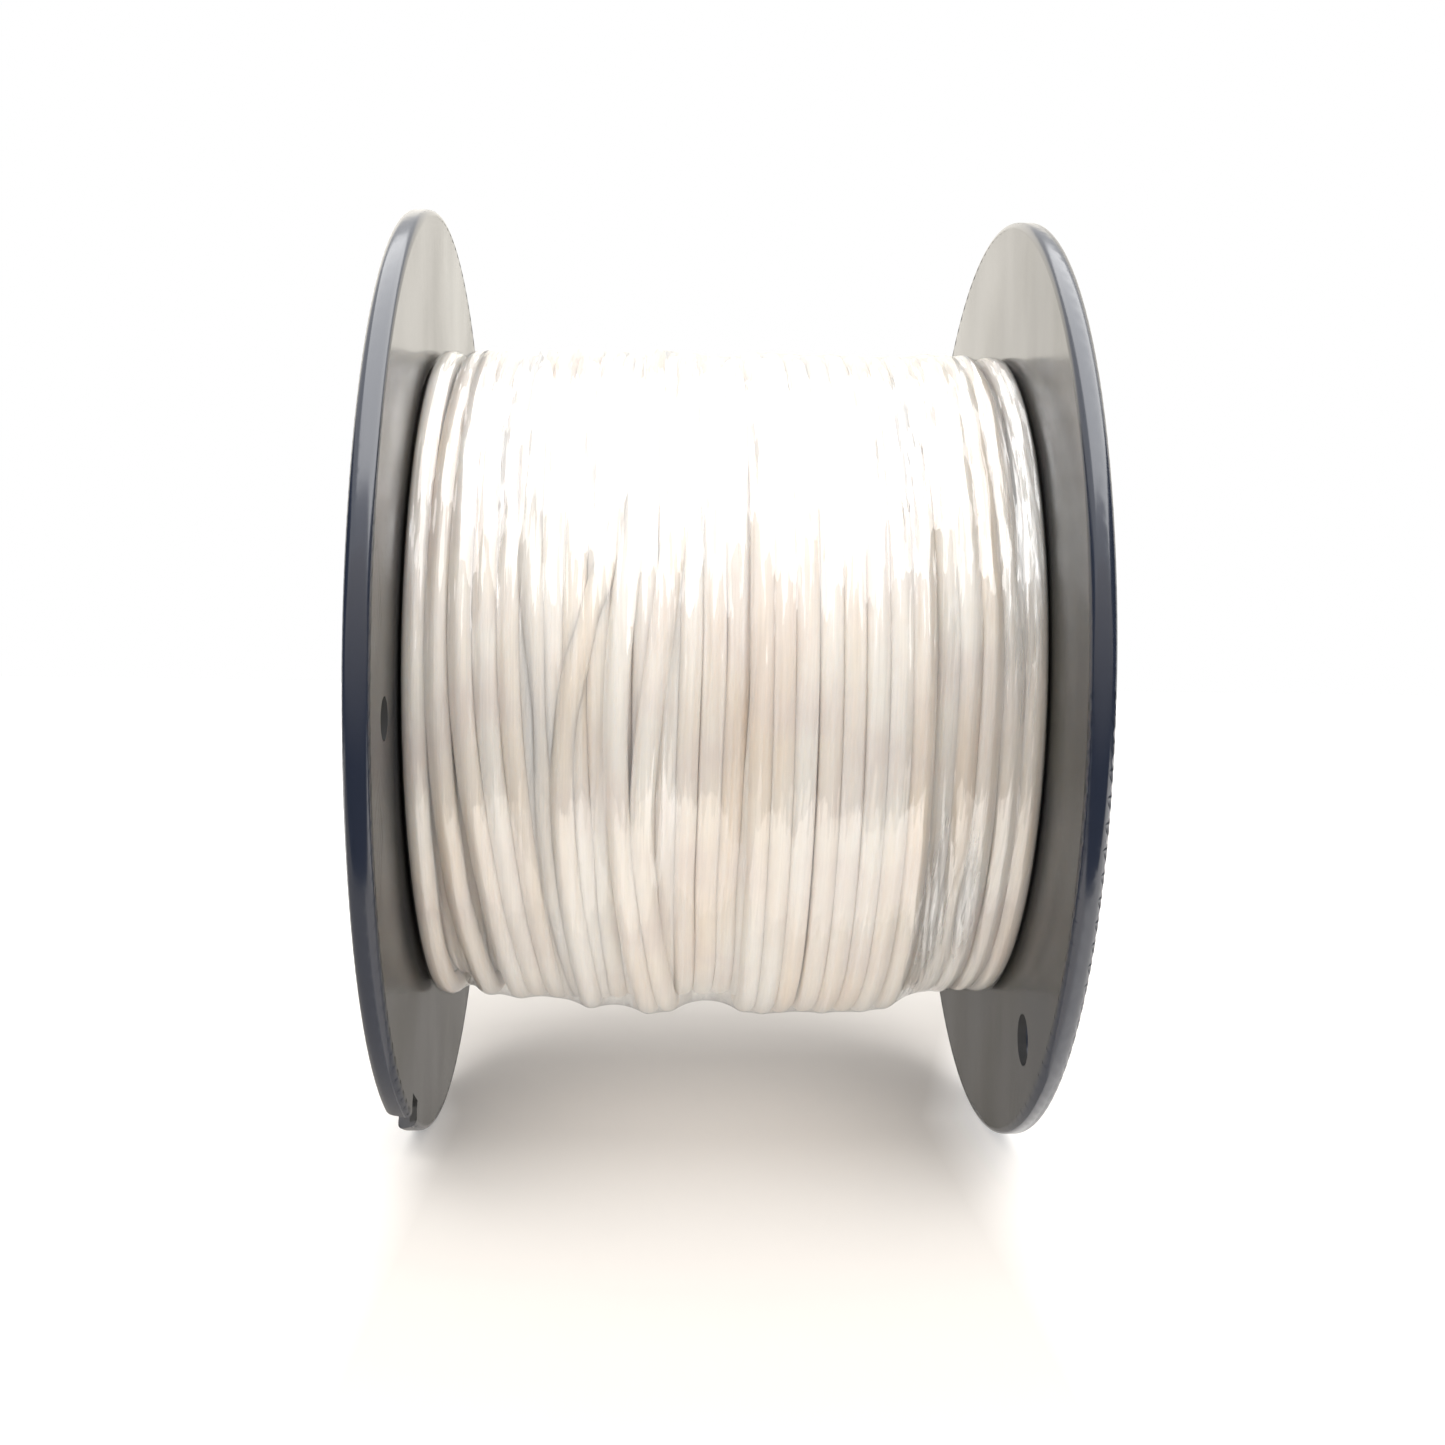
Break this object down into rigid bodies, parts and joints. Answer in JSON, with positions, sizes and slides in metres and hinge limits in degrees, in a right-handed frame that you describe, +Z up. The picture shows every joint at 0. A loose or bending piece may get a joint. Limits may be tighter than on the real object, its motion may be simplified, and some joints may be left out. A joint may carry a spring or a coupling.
{
  "type": "fishing line spool",
  "caption": "Round flanged spool with thick line wound on its barrel under clear film, and a spindle bore through its arbor, to store and pay out line.",
  "frame": {"origin": "middle of the spindle bore, on the spool's axis, half way between the flanges", "axes": "+X along the spool's axis towards the right flange, +Z up, -Y towards the viewer of the picture"},
  "size_m": [0.0658, 0.1, 0.1],
  "materials": {
    "flange": "moulded, semi-gloss black",
    "barrel": "moulded, satin black",
    "arbor": "extruded, satin black",
    "line": "smooth cream white",
    "film": "clear glossy film"
  },
  "bodies": {
    "root": {"left_flange": "flange", "right_flange": "flange", "barrel": "barrel", "arbor_tube": "arbor", "line_core": "line", "line_outer_layer": "line", "film_wrap": "film"}
  },
  "joints": []
}
